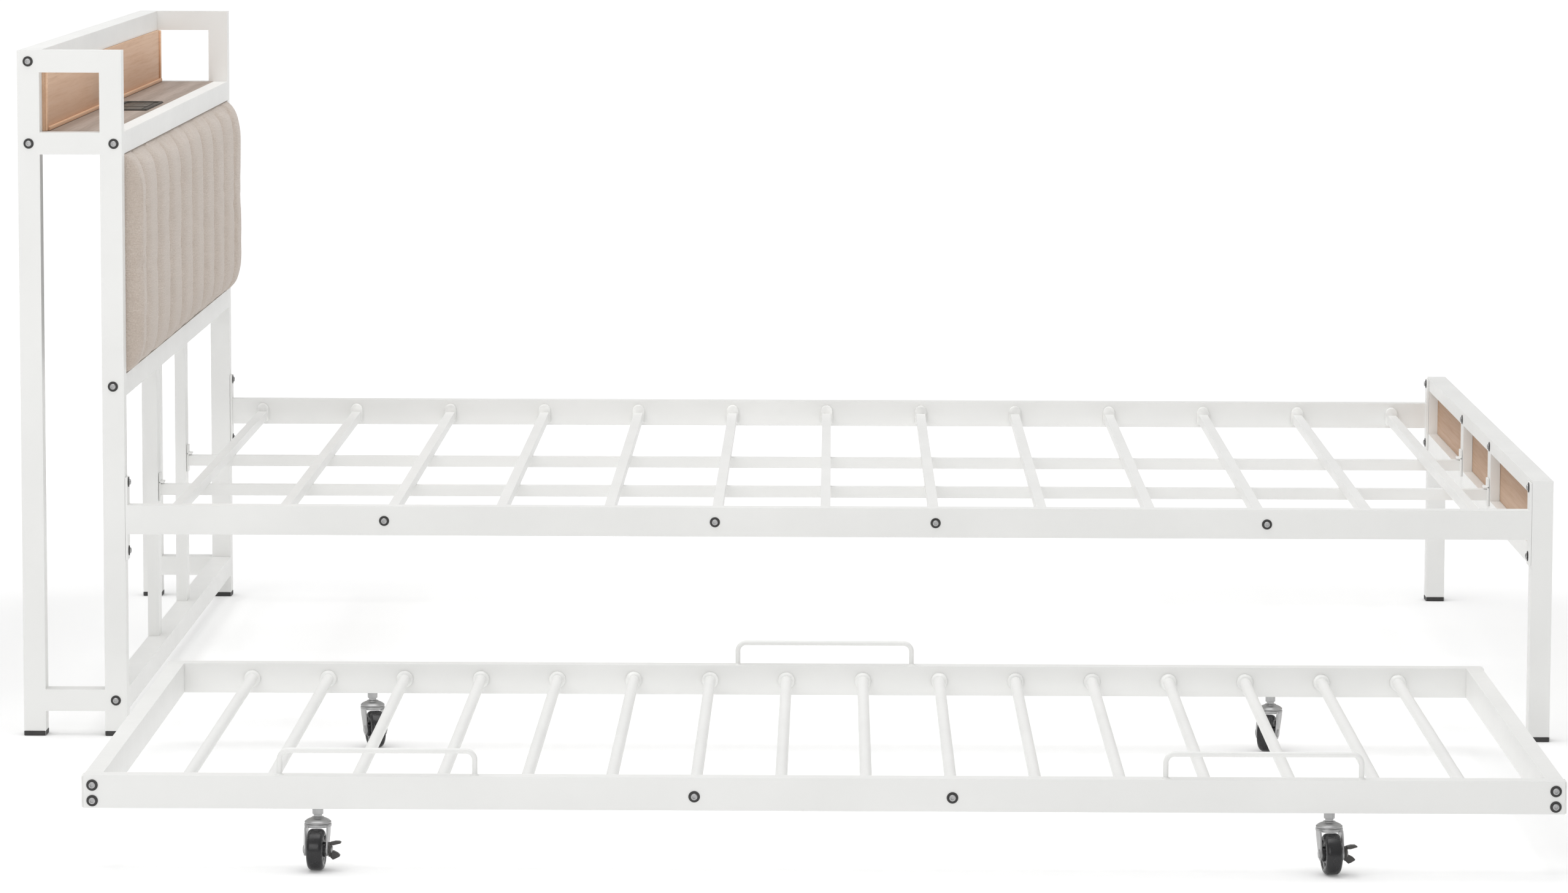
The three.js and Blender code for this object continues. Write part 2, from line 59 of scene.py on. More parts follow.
# Millimetres from SLAT_LINE, as in at().
SIDE_FACE = 725.0    # outer faces of the side rails and the headboard's side frames
HEAD_FACE = -962.0   # front of the headboard's front posts
FOOT_FACE = 969.0    # inner face of the footboard's legs
HEAD_FRONT_POST = -977.0
HEAD_BACK_POST = -1089.0
FOOT_LEG = 983.5
LEG_Y = 710.0
CENTRE_RAIL_Y = 188.0
TUBE = 30.0          # the frames' square tube

# Rounding of edges, in metres.
TUBE_ROUND = 1.8 * MM
SLAT_ROUND = 2.6 * MM
BOARD_ROUND = 0.6 * MM


def mid(box):
    return (box[0] + box[1]) / 2


# ---- Camera -------------------------------------------------------------------------------------

SENSOR = 36.0    # mm
LENS = 136.0845  # mm
CAMERA_YAW, CAMERA_PITCH, CAMERA_ROLL = (math.radians(a) for a in (0.465, 6.355, 0.174))
CAMERA_ASIDE = 8.6 * MM
CAMERA_BACK = 8.8
CAMERA_HEIGHT = 1.3044


def make_camera():
    """Stands level with the headboard's top, square on to the near side of the bed."""
    data = bpy.data.cameras.new("camera")
    data.sensor_width = SENSOR
    data.lens = LENS
    data.clip_start, data.clip_end = 0.1, 200
    camera = bpy.data.objects.new("camera", data)
    bpy.context.scene.collection.objects.link(camera)
    level = math.cos(CAMERA_PITCH)
    ahead = Vector((-math.sin(CAMERA_YAW) * level, math.cos(CAMERA_YAW) * level,
                    -math.sin(CAMERA_PITCH)))
    right = ahead.cross(Vector((0, 0, 1))).normalized()
    up = right.cross(ahead)
    turned_right = math.cos(CAMERA_ROLL) * right + math.sin(CAMERA_ROLL) * up
    turned_up = math.cos(CAMERA_ROLL) * up - math.sin(CAMERA_ROLL) * right
    turn = Matrix((turned_right, turned_up, -ahead)).transposed()
    place = (SLAT_MIDDLE_X + CAMERA_ASIDE, MIDDLE_Y - CAMERA_BACK, CAMERA_HEIGHT)
    camera.matrix_world = Matrix.Translation(place) @ turn.to_4x4()
    bpy.context.scene.camera = camera


# ---- Studio -------------------------------------------------------------------------------------

SKY_LOW, SKY_HIGH = 0.4, 0.75    # strength at the horizon and overhead
FLOOR_GLOW = (0.12, 0.47)        # under the bed, and far from it
FLOOR_GLOW_REACH = (1.6, 4.5)    # metres from the origin
TOP_POWER, FRONT_POWER = 105, 50
FLOOR_SIZE, FLOOR_Y, FLOOR_Z = 120, 20, -0.6 * MM


def area_light(name, place, aim, size, power):
    data = bpy.data.lights.new(name, "AREA")
    data.shape = "RECTANGLE"
    data.size, data.size_y = size
    data.energy = power
    light = bpy.data.objects.new(name, data)
    bpy.context.scene.collection.objects.link(light)
    light.location = place
    light.rotation_euler = (Vector(aim) - Vector(place)).to_track_quat("-Z", "Y").to_euler()


def make_studio():
    """A bright sky that is softer towards the horizon, two softboxes and a white floor that glows,
    weakly under the bed and more away from it.
    """
    world = bpy.data.worlds.new("studio")
    bpy.context.scene.world = world
    world.use_nodes = True
    tree = world.node_tree
    sky = tree.nodes["Background"]
    sky.inputs["Color"].default_value = (1, 1, 1, 1)
    direction = tree.nodes.new("ShaderNodeTexCoord")
    parts = tree.nodes.new("ShaderNodeSeparateXYZ")
    level = tree.nodes.new("ShaderNodeMapRange")
    for socket, value in (("From Min", 0.0), ("From Max", 1.0), ("To Min", SKY_LOW),
                          ("To Max", SKY_HIGH)):
        level.inputs[socket].default_value = value
    tree.links.new(direction.outputs["Generated"], parts.inputs["Vector"])
    tree.links.new(parts.outputs["Z"], level.inputs["Value"])
    tree.links.new(level.outputs["Result"], sky.inputs["Strength"])
    area_light("top_softbox", (-0.6, 0.0, 4.2), (0, 0, 0), (4.5, 4.5), TOP_POWER)
    area_light("front_softbox", (-1.8, -6.0, 2.4), (0, 0, 0.4), (3.5, 2.5), FRONT_POWER)
    bpy.ops.mesh.primitive_plane_add(size=FLOOR_SIZE, location=(0, FLOOR_Y, FLOOR_Z))
    floor = bpy.context.active_object
    floor.name = "studio_floor"
    floor.data.materials.append(floor_paint())
    bpy.context.scene.view_settings.view_transform = "Standard"


# ---- Materials ----------------------------------------------------------------------------------


class Shader:
    """A small helper that builds one Principled material from procedural nodes."""

    def __init__(self, name, roughness, metallic=0.0, specular=0.5):
        self.material = bpy.data.materials.new(name)
        self.material.use_nodes = True
        self.tree = self.material.node_tree
        self.surface = self.tree.nodes["Principled BSDF"]
        self.surface.inputs["Roughness"].default_value = roughness
        self.surface.inputs["Metallic"].default_value = metallic
        self.surface.inputs["Specular IOR Level"].default_value = specular
        self.place = self.tree.nodes.new("ShaderNodeTexCoord").outputs["Object"]

    def node(self, kind, **settings):
        made = self.tree.nodes.new(kind)
        for key, value in settings.items():
            setattr(made, key, value)
        return made

    def link(self, source, target):
        self.tree.links.new(source, target)

    def scaled(self, scale, turn=(0, 0, 0)):
        mapping = self.node("ShaderNodeMapping")
        mapping.inputs["Scale"].default_value = scale
        mapping.inputs["Rotation"].default_value = turn
        self.link(self.place, mapping.inputs["Vector"])
        return mapping.outputs["Vector"]

    def noise(self, scale, stretch=(1, 1, 1), detail=3.0, rough=0.5):
        made = self.node("ShaderNodeTexNoise")
        made.inputs["Scale"].default_value = scale
        made.inputs["Detail"].default_value = detail
        made.inputs["Roughness"].default_value = rough
        self.link(self.scaled(stretch), made.inputs["Vector"])
        return made.outputs["Fac"]

    def wave(self, scale, stretch, turn=(0, 0, 0), distortion=0.0, detail=2.0):
        """Bands, 0 to 1, that a turbulence bends."""
        made = self.node("ShaderNodeTexWave")
        made.inputs["Scale"].default_value = scale
        made.inputs["Distortion"].default_value = distortion
        made.inputs["Detail"].default_value = detail
        self.link(self.scaled(stretch, turn), made.inputs["Vector"])
        return made.outputs["Fac"]

    def ramp(self, value, *stops):
        made = self.node("ShaderNodeValToRGB")
        while len(made.color_ramp.elements) < len(stops):
            made.color_ramp.elements.new(0.5)
        for element, (at, colour) in zip(made.color_ramp.elements, stops):
            element.position = at
            element.color = (*colour, 1)
        self.link(value, made.inputs["Fac"])
        return made.outputs["Color"]

    def grey(self, value, low, high, from_low, from_high):
        """Maps a value from one range to another, and holds it at the ends."""
        made = self.node("ShaderNodeMapRange")
        made.inputs["From Min"].default_value = from_low
        made.inputs["From Max"].default_value = from_high
        made.inputs["To Min"].default_value = low
        made.inputs["To Max"].default_value = high
        self.link(value, made.inputs["Value"])
        return made.outputs["Result"]

    def maths(self, operation, a, b=0):
        made = self.node("ShaderNodeMath", operation=operation)
        for socket, value in zip(made.inputs, (a, b)):
            if isinstance(value, (int, float)):
                socket.default_value = value
            else:
                self.link(value, socket)
        return made.outputs[0]

    def mix(self, factor, a, b):
        made = self.node("ShaderNodeMix", data_type="RGBA")
        for key, value in ((0, factor), (6, a), (7, b)):
            if isinstance(value, (int, float)):
                made.inputs[key].default_value = value
            elif isinstance(value, tuple):
                made.inputs[key].default_value = (*value, 1)
            else:
                self.link(value, made.inputs[key])
        return made.outputs[2]

    def colour(self, value):
        if isinstance(value, tuple):
            self.surface.inputs["Base Color"].default_value = (*value, 1)
        else:
            self.link(value, self.surface.inputs["Base Color"])

    def roughness(self, value):
        self.link(value, self.surface.inputs["Roughness"])

    def bump(self, value, depth, strength=1.0):
        made = self.node("ShaderNodeBump")
        made.inputs["Strength"].default_value = strength
        made.inputs["Distance"].default_value = depth
        self.link(value, made.inputs["Height"])
        self.link(made.outputs["Normal"], self.surface.inputs["Normal"])


def srgb(r, g, b):
    """A colour from 0 to 255 on screen, as the linear values that a shader takes."""
    return tuple(((c / 255 + 0.055) / 1.055) ** 2.4 if c > 10 else c / 255 / 12.92
                 for c in (r, g, b))


def floor_paint():
    shader = Shader("studio_floor_paint", 0.9, specular=0.1)
    shader.colour((0.93, 0.93, 0.93))
    # The floor glows as painted light: weakly under the bed and more away from it, which whitens
    # the floor and lights the bed from below.
    shader.surface.inputs["Emission Color"].default_value = (1, 1, 1, 1)
    reach = shader.node("ShaderNodeVectorMath", operation="LENGTH")
    shader.link(shader.node("ShaderNodeNewGeometry").outputs["Position"], reach.inputs[0])
    glow = shader.grey(reach.outputs["Value"], *FLOOR_GLOW, *FLOOR_GLOW_REACH)
    shader.link(glow, shader.surface.inputs["Emission Strength"])
    return shader.material


def powder_coat():
    """White powder coat: satin, with a faint orange peel and slightly uneven gloss."""
    shader = Shader("white_powder_coat", 0.42)
    tint = shader.noise(6.0, detail=4)
    shader.colour(shader.ramp(tint, (0.3, srgb(233, 233, 231)), (0.7, srgb(238, 238, 236))))
    shader.roughness(shader.grey(shader.noise(90.0, detail=2), 0.36, 0.48, 0.3, 0.7))
    shader.bump(shader.noise(900.0, detail=1.5), 0.06 * MM)
    return shader.material


def oak_board(name, lift=1.0):
    """Light oak with a grain that runs along Y."""
    shader = Shader(name, 0.55)
    figure = shader.wave(9.0, (1, 0.04, 1), (0, 0.2, 0), distortion=5.0, detail=3)
    fibre = shader.noise(260.0, (1, 0.025, 1), detail=5, rough=0.65)
    patch = shader.noise(5.0, (1, 0.5, 1), detail=3)
    # lift scales every tone; the back board's copy is lifted above 1 as painted light, since that
    # board sits in shade.
    tones = [tuple(min(1.0, c * lift) for c in srgb(*tone)) for tone in
             ((188, 150, 119), (198, 161, 131), (207, 172, 143), (172, 132, 102),
              (208, 178, 152))]
    base = shader.ramp(figure, (0.0, tones[0]), (0.55, tones[1]), (1.0, tones[2]))
    streaks = shader.mix(shader.grey(fibre, 0.0, 0.5, 0.48, 0.78), base, tones[3])
    shader.colour(shader.mix(shader.grey(patch, 0.0, 0.3, 0.35, 0.7), streaks, tones[4]))
    shader.roughness(shader.grey(fibre, 0.48, 0.66, 0.3, 0.7))
    shader.bump(fibre, 0.12 * MM)
    return shader.material


def shelf_wood():
    """Greyish brown board, grain along Y."""
    shader = Shader("shelf_wood", 0.5)
    figure = shader.wave(10.0, (1, 0.04, 1), distortion=5.0, detail=3)
    fibre = shader.noise(280.0, (1, 0.025, 1), detail=5, rough=0.65)
    base = shader.ramp(figure, (0.0, srgb(150, 134, 122)), (1.0, srgb(168, 153, 142)))
    streaks = shader.grey(fibre, 0.0, 0.45, 0.48, 0.78)
    shader.colour(shader.mix(streaks, base, srgb(130, 113, 101)))
    shader.roughness(shader.grey(fibre, 0.4, 0.6, 0.3, 0.7))
    shader.bump(fibre, 0.1 * MM)
    return shader.material


YARNS = 140.0
SEAM_SHADE_WIDTH = (0.002, 0.014)  # in seam pitches, on each side of a seam; the painted seam shade is full inside the first and gone past the second
THREAD_WIDTH = 0.004
STITCH_PITCH = 4.8 * MM
STITCH_SHARE = 0.68


def pad_cloth():
    """Taupe plain weave: crossed yarns, flecks, a soft sheen, painted shade along each seam and a
    thread in each seam.
    """
    shader = Shader("pad_fabric", 0.92, specular=0.2)
    warp = shader.wave(YARNS, (0, 1, 0), distortion=0.6, detail=1)
    weft = shader.wave(YARNS, (0, 0, 1), (0, -math.pi / 2, 0), distortion=0.6, detail=1)
    weave = shader.maths("MAXIMUM", warp, weft)
    fleck = shader.noise(520.0, detail=2, rough=0.6)
    cloud = shader.noise(9.0, detail=3)
    base = shader.ramp(fleck, (0.3, srgb(184, 170, 158)), (0.5, srgb(198, 185, 174)),
                       (0.72, srgb(212, 201, 191)))
    worn = shader.mix(shader.grey(cloud, 0.0, 0.35, 0.3, 0.75), base, srgb(190, 176, 164))
    parts = shader.node("ShaderNodeSeparateXYZ")
    shader.link(shader.place, parts.inputs["Vector"])
    across = shader.maths("SUBTRACT", parts.outputs["Y"], MIDDLE_Y)
    pitches = shader.maths("DIVIDE", across, SEAM_PITCH * MM)
    turn = shader.maths("FRACT", shader.maths("ADD", pitches, 20.5))
    gap = shader.maths("ABSOLUTE", shader.maths("SUBTRACT", turn, 0.5))
    # Painted shade: the colour darkens in a band along each seam, where the cover dips in.
    seam_shade = shader.grey(gap, 1.0, 0.0, *SEAM_SHADE_WIDTH)
    line = shader.maths("LESS_THAN", gap, THREAD_WIDTH)
    stitches = shader.maths("DIVIDE", parts.outputs["Z"], STITCH_PITCH)
    dash = shader.maths("LESS_THAN", shader.maths("FRACT", stitches), STITCH_SHARE)
    thread = shader.maths("MULTIPLY", line, dash)
    shaded = shader.mix(shader.maths("MULTIPLY", seam_shade, 0.3), worn, srgb(128, 112, 100))
    shader.colour(shader.mix(shader.maths("MULTIPLY", thread, 0.6), shaded, srgb(206, 194, 182)))
    shader.surface.inputs["Sheen Weight"].default_value = 0.3
    shader.surface.inputs["Sheen Roughness"].default_value = 0.5
    shader.roughness(shader.grey(fleck, 0.86, 0.98, 0.3, 0.7))
    shader.bump(shader.maths("ADD", weave, shader.maths("MULTIPLY", thread, 2.0)), 0.25 * MM, 0.8)
    return shader.material


def lining_cloth():
    """Thin dark felted lining with a pressed dot pattern."""
    shader = Shader("pad_lining", 0.95, specular=0.15)
    fibre = shader.noise(700.0, detail=4, rough=0.7)
    dots = shader.node("ShaderNodeTexVoronoi", feature="F1")
    dots.inputs["Scale"].default_value = 320.0
    dots.inputs["Randomness"].default_value = 0.0
    shader.link(shader.place, dots.inputs["Vector"])
    shader.colour(shader.ramp(fibre, (0.3, srgb(70, 68, 66)), (0.7, srgb(98, 95, 92))))
    shader.roughness(shader.grey(fibre, 0.9, 1.0, 0.3, 0.7))
    relief = shader.maths("ADD", shader.maths("MULTIPLY", fibre, 0.6), dots.outputs["Distance"])
    shader.bump(relief, 0.3 * MM, 0.7)
    return shader.material


def moulded(name, colour, roughness):
    """A plain moulded plastic or rubber with a fine texture."""
    shader = Shader(name, roughness)
    shade = shader.noise(40.0, detail=3)
    light = tuple(min(1.0, c * 1.25) for c in colour)
    shader.colour(shader.ramp(shade, (0.35, colour), (0.7, light)))
    gloss = shader.noise(120.0)
    shader.roughness(shader.grey(gloss, roughness - 0.06, roughness + 0.08, 0.3, 0.7))
    shader.bump(shader.noise(1400.0, detail=1), 0.03 * MM)
    return shader.material


def plated(name, colour, roughness):
    """Plated sheet steel with a faint rolled grain."""
    shader = Shader(name, roughness, metallic=0.9)
    cloud = shader.noise(60.0, detail=4)
    shader.colour(shader.ramp(cloud, (0.3, tuple(c * 0.86 for c in colour)), (0.7, colour)))
    gloss = shader.noise(400.0, (1, 1, 0.1))
    shader.roughness(shader.grey(gloss, roughness - 0.08, roughness + 0.1, 0.3, 0.7))
    shader.bump(shader.noise(700.0, (1, 1, 0.15)), 0.02 * MM)
    return shader.material


# ---- Mesh building ------------------------------------------------------------------------------

def at(x, y, z):
    """A place given in millimetres from the middle of the slats, on the floor."""
    return SLAT_LINE + Vector((x, y, z)) * MM


def facing(place, direction):
    """Stands a local +Z shape at a place, pointing in a direction."""
    turn = Vector(direction).to_track_quat("Z", "Y").to_matrix().to_4x4()
    return Matrix.Translation(place) @ turn


class Shape:
    """Collects closed solids into one mesh, which becomes one piece. Sizes are in millimetres."""

    def __init__(self):
        self.bm = bmesh.new()

    def ring(self, points, matrix):
        """Vertices at points given in millimetres in a local frame."""
        return [self.bm.verts.new(matrix @ (Vector(point) * MM)) for point in points]

    def bridge(self, pairs):
        """Joins each pair of rings with a band of quads."""
        for low, high in pairs:
            for k in range(len(low)):
                nxt = (k + 1) % len(low)
                self.bm.faces.new((low[k], low[nxt], high[nxt], high[k]))

    def round_edges(self, edges, width, segments):
        bmesh.ops.bevel(self.bm, geom=edges, offset=width * MM, segments=segments, profile=0.5,
                        affect="EDGES", clamp_overlap=True)

    def lathe(self, profile, matrix, segments=32, hexed=(), ring=False):
        """Turns (radius, height) points round local Z. Rings in hexed become hexagons."""
        rings = []
        for i, (radius, height) in enumerate(profile):
            points = []
            for k in range(segments):
                angle = 2 * math.pi * k / segments
                reach = radius
                if i in hexed:
                    reach *= math.cos(math.pi / 6) / math.cos(angle % (math.pi / 3) - math.pi / 6)
                points.append((reach * math.cos(angle), reach * math.sin(angle), height))
            rings.append(self.ring(points, matrix))
        self.bridge(list(zip(rings, rings[1:])) + ([(rings[-1], rings[0])] if ring else []))
        if not ring:
            self.bm.faces.new(rings[0][::-1])
            self.bm.faces.new(rings[-1])

    def slab(self, outline, low, high, matrix, bevel=0.0, segments=2):
        """A closed outline in local X and Y, given thickness along local Z, with rounded rims."""
        sides = [self.ring([(u, v, z) for u, v in outline], matrix) for z in (low, high)]
        caps = [self.bm.faces.new(sides[0][::-1]), self.bm.faces.new(sides[1])]
        self.bridge([sides])
        if bevel:
            rims = list(dict.fromkeys(edge for cap in caps for edge in cap.edges))
            self.round_edges(rims, bevel, segments)

    def block(self, low, high, bevel=0.0, segments=2, matrix=None):
        """A box between two corners with every edge rounded."""
        size = Vector(high) - Vector(low)
        middle = (Vector(high) + Vector(low)) / 2
        place = (matrix or Matrix.Translation(SLAT_LINE)) @ Matrix.Translation(middle * MM)
        stretch = Matrix.Diagonal((*(size * MM), 1))
        made = bmesh.ops.create_cube(self.bm, size=1.0, matrix=place @ stretch)
        if bevel:
            edges = list(dict.fromkeys(edge for vert in made["verts"] for edge in vert.link_edges))
            self.round_edges(edges, bevel, segments)

    def tube(self, points, radius, segments):
        """A round wire through points in metres, with flat ends."""
        tangents = []
        for i in range(len(points)):
            before, after = points[max(i - 1, 0)], points[min(i + 1, len(points) - 1)]
            tangents.append((after - before).normalized())
        normal = tangents[0].orthogonal().normalized()
        rings = []
        for point, tangent in zip(points, tangents):
            normal = (normal - tangent * normal.dot(tangent)).normalized()
            side = tangent.cross(normal)
            made = []
            for k in range(segments):
                angle = 2 * math.pi * k / segments
                way = math.cos(angle) * normal + math.sin(angle) * side
                made.append(self.bm.verts.new(point + radius * MM * way))
            rings.append(made)
        self.bridge(zip(rings, rings[1:]))
        self.bm.faces.new(rings[0][::-1])
        self.bm.faces.new(rings[-1])

    def piece(self, name, material, body, slot, smooth=38, stands_for=()):
        """Turns what was collected into a piece that rides on a body."""
        bmesh.ops.recalc_face_normals(self.bm, faces=self.bm.faces)
        mesh = bpy.data.meshes.new(name)
        self.bm.to_mesh(mesh)
        self.bm.free()
        mesh.materials.append(material)
        mesh.polygons.foreach_set("use_smooth", [True] * len(mesh.polygons))
        mesh.set_sharp_from_angle(angle=math.radians(smooth))
        made = bpy.data.objects.new(name, mesh)
        bpy.context.scene.collection.objects.link(made)
        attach(made, body)
        if stands_for:
            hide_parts(*stands_for)
        return made


def arc(centre, radius, start, end, steps):
    """Points of an arc in a plane, by angle in degrees."""
    angles = [math.radians(start + (end - start) * i / steps) for i in range(steps + 1)]
    return [(centre[0] + radius * math.cos(a), centre[1] + radius * math.sin(a)) for a in angles]


def rounded(width, height, radius, steps=4):
    """A rectangle about the origin with round corners."""
    w, h = width / 2 - radius, height / 2 - radius
    return (arc((w, h), radius, 0, 90, steps) + arc((-w, h), radius, 90, 180, steps)
            + arc((-w, -h), radius, 180, 270, steps) + arc((w, -h), radius, 270, 360, steps))


# ---- CAD nodes ----------------------------------------------------------------------------------


def dress(names, material, bevel=0.0, segments=3):
    """Gives CAD nodes their finish, with their long edges rounded."""
    for name in names:
        node = nodes[name]
        node.data.materials.clear()
        node.data.materials.append(material)
        if bevel:
            rounding = node.modifiers.new("rounded_edges", "BEVEL")
            rounding.width = bevel
            rounding.segments = segments
            rounding.limit_method = "ANGLE"
            rounding.angle_limit = math.radians(40)
            rounding.harden_normals = True


def dress_frame():
    """Materials of the CAD nodes that are shown as they are."""
    big = ["shelf_frame", "head_lower_frame", "footboard_frame"]
    big += [n for n in nodes if n.startswith(("head_side", "side_rail", "trundle_rail"))]
    dress(big, WHITE, TUBE_ROUND)
    dress(SLATS + ["centre_rail_near", "centre_rail_far"], WHITE, SLAT_ROUND, 4)
    dress(["footboard_panel"], OAK, BOARD_ROUND, 2)
    dress(["back_board"], OAK_BACK_PAINTED_LIGHT, BOARD_ROUND, 2)
    dress(["shelf_board"], SHELF, BOARD_ROUND, 2)
    dress(["power_socket"], SOCKET_DARK, BOARD_ROUND, 2)


# ---- Fasteners ----------------------------------------------------------------------------------

BOLT_HEAD = [(3.2, 0.6), (3.8, 1.0), (4.1, 1.8), (3.9, 2.6), (3.4, 3.2), (2.9, 3.4), (2.6, 3.3),
             (2.5, 1.4), (0.4, 1.2)]
BOLT_HEX = (6, 7)  # the rings of the head that form its hex socket
WASHER = [(2.0, 0.0), (6.6, 0.0), (7.0, 0.35), (6.8, 0.9), (2.0, 1.0)]


def bolts(name, spots, body):
    """Button heads with hex sockets, each on a dark washer."""
    heads, rings = Shape(), Shape()
    for place, direction in spots:
        stand = facing(place, direction)
        heads.lathe(BOLT_HEAD, stand, 36, hexed=BOLT_HEX)
        rings.lathe(WASHER, stand, 36)
    heads.piece(f"{name}_bolts", BOLT_STEEL, body, "zinc_steel")
    rings.piece(f"{name}_washers", RUBBER, body, "pedal_plastic")


HEAD_SIDE_BOLTS = ((HEAD_BACK_POST, 929), (HEAD_BACK_POST, 817), (HEAD_FRONT_POST + 4, 817),
                   (HEAD_FRONT_POST, 484), (HEAD_FRONT_POST, 49))
RAIL_BOLTS_X, RAIL_BOLT_Z = (-606, -151.5, 151.5, 606), 300
TRUNDLE_BOLTS_X, TRUNDLE_BOLT_Z = (-156, 156), 91
CORNER_BOLTS_X, CORNER_BOLTS_Z = (-884, 884), (102, 83)
PLATE_THICK = 3.3
PLATE_BOLT_Y = 711.0
PLATE_BOLT_HEIGHTS = (351, 256)


def add_bolts():
    spots = []
    for sign in (-1, 1):
        for x, z in HEAD_SIDE_BOLTS:
            spots.append((at(x, sign * SIDE_FACE, z), (0, sign, 0)))
    bolts("head_side", spots, "bed")
    plates = []
    for x, way in ((HEAD_FACE + PLATE_THICK, 1), (FOOT_FACE - PLATE_THICK, -1)):
        plates += [(at(x, sign * PLATE_BOLT_Y, z), (way, 0, 0))
                   for sign in (-1, 1) for z in PLATE_BOLT_HEIGHTS]
    plates += [(at(FOOT_FACE, sign * CENTRE_RAIL_Y, 349), (-1, 0, 0)) for sign in (-1, 1)]
    bolts("end_plate", plates, "bed")
    rails = [(at(x, sign * SIDE_FACE, RAIL_BOLT_Z), (0, sign, 0))
             for sign in (-1, 1) for x in RAIL_BOLTS_X]
    bolts("slat_rail", rails, "bed")
    near, far = T_NEAR[0].y - MIDDLE_Y, T_FAR[1].y - MIDDLE_Y
    spots = []
    for y, sign in ((near / MM, -1), (far / MM, 1)):
        spots += [(at(x, y, TRUNDLE_BOLT_Z), (0, sign, 0)) for x in TRUNDLE_BOLTS_X]
        spots += [(at(x, y, z), (0, sign, 0)) for x in CORNER_BOLTS_X for z in CORNER_BOLTS_Z]
    bolts("trundle_frame", spots, "trundle")


# ---- Bed details --------------------------------------------------------------------------------

CAP_HEIGHT = 6.5
CAP_PROUD = 1.2
FOOT_LEG_DEPTH = 29.0
HOLDER_WIDTH = 9.5
HOLDER_Y = (699.9, 689.5)
HOLDER_BOTTOM, SLAT_AXIS_Z = 285.0, 304.2
STAND_Y_UP = Matrix(((1, 0, 0, 0), (0, 0, 1, 0), (0, 1, 0, 0), (0, 0, 0, 1)))


def add_foot_caps():
    """A rubber boot round the bottom of each leg."""
    legs = {}
    for word, y in (("near", -LEG_Y), ("far", LEG_Y)):
        legs[f"head_{word}_front"] = (HEAD_FRONT_POST, y, TUBE)
        legs[f"head_{word}_back"] = (HEAD_BACK_POST, y, TUBE)
    for word, y in (("near", -LEG_Y), ("far", LEG_Y)):
        legs[f"foot_{word}"] = (FOOT_LEG, y, FOOT_LEG_DEPTH)
    for name, (x, y, width) in legs.items():
        boot = Shape()
        outline = rounded(width + CAP_PROUD, TUBE + CAP_PROUD, 2.4)
        boot.slab(outline, -0.4, CAP_HEIGHT, Matrix.Translation(at(x, y, 0)), 0.9)
        boot.piece(f"foot_cap_{name}", RUBBER, "bed", "pedal_plastic")


def add_slat_holders():
    """Moulded saddles on the inside of the side rails, one at each slat end."""
    outline = [(-HOLDER_WIDTH, HOLDER_BOTTOM), *arc((0, SLAT_AXIS_Z), HOLDER_WIDTH, 180, 0, 12),
               (HOLDER_WIDTH, HOLDER_BOTTOM)]
    for sign, word in ((-1, "near"), (1, "far")):
        for i, slat in enumerate(SLATS, 1):
            x = (mid(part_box(slat)).x - SLAT_MIDDLE_X) / MM
            saddle = Shape()
            start, end = sorted(sign * y for y in HOLDER_Y)
            stand = Matrix.Translation(at(x, 0, 0)) @ STAND_Y_UP
            saddle.slab(outline[::-1], start, end, stand, 1.6, 3)
            saddle.piece(f"slat_holder_{word}_{i:02d}", WHITE_PLASTIC, "bed", "white_steel")


HOOK_HALF = 11.0
HOOK_LIP = 5.0


def add_centre_hooks():
    """End brackets of the two centre rails, hooked on the uprights at the head and the foot."""
    for sign, word in ((-1, "near"), (1, "far")):
        for x0, x1, end in ((-975.6, -972.9, "head"), (965.6, 968.6, "foot")):
            hook = Shape()
            y0, y1 = sign * CENTRE_RAIL_Y - HOOK_HALF, sign * CENTRE_RAIL_Y + HOOK_HALF
            hook.block((x0, y0, 262), (x1, y1, 303), 0.8)
            lip = x1 + HOOK_LIP if end == "head" else x0 - HOOK_LIP
            hook.block((min(lip, x0), y0, 288.5), (max(lip, x1), y1, 291.5), 0.8)
            hook.piece(f"centre_hook_{end}_{word}", WHITE, "bed", "white_steel")


TRIM_BOTTOM = 832.4


def add_board_trims():
    """Solid oak lippings in front of the back board: two upright battens and a base strip."""
    x0 = (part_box("back_board")[1].x - SLAT_MIDDLE_X) / MM + 0.1
    trims = Shape()
    for sign in (-1, 1):
        low, high = sorted((sign * 694.4, sign * 682.5))
        trims.block((x0, low, TRIM_BOTTOM), (x0 + 2.6, high, 913.5), 0.7)
    trims.block((x0, -682.3, TRIM_BOTTOM), (x0 + 5.0, 682.3, 837.5), 0.9)
    trims.piece("back_board_trims", OAK_LIGHT, "bed", "oak_board")


# ---- Charging station ---------------------------------------------------------------------------

INSERT_RISE = (0.05, 0.9)
SLOT_SHADE_RISE = (0.85, 1.0)


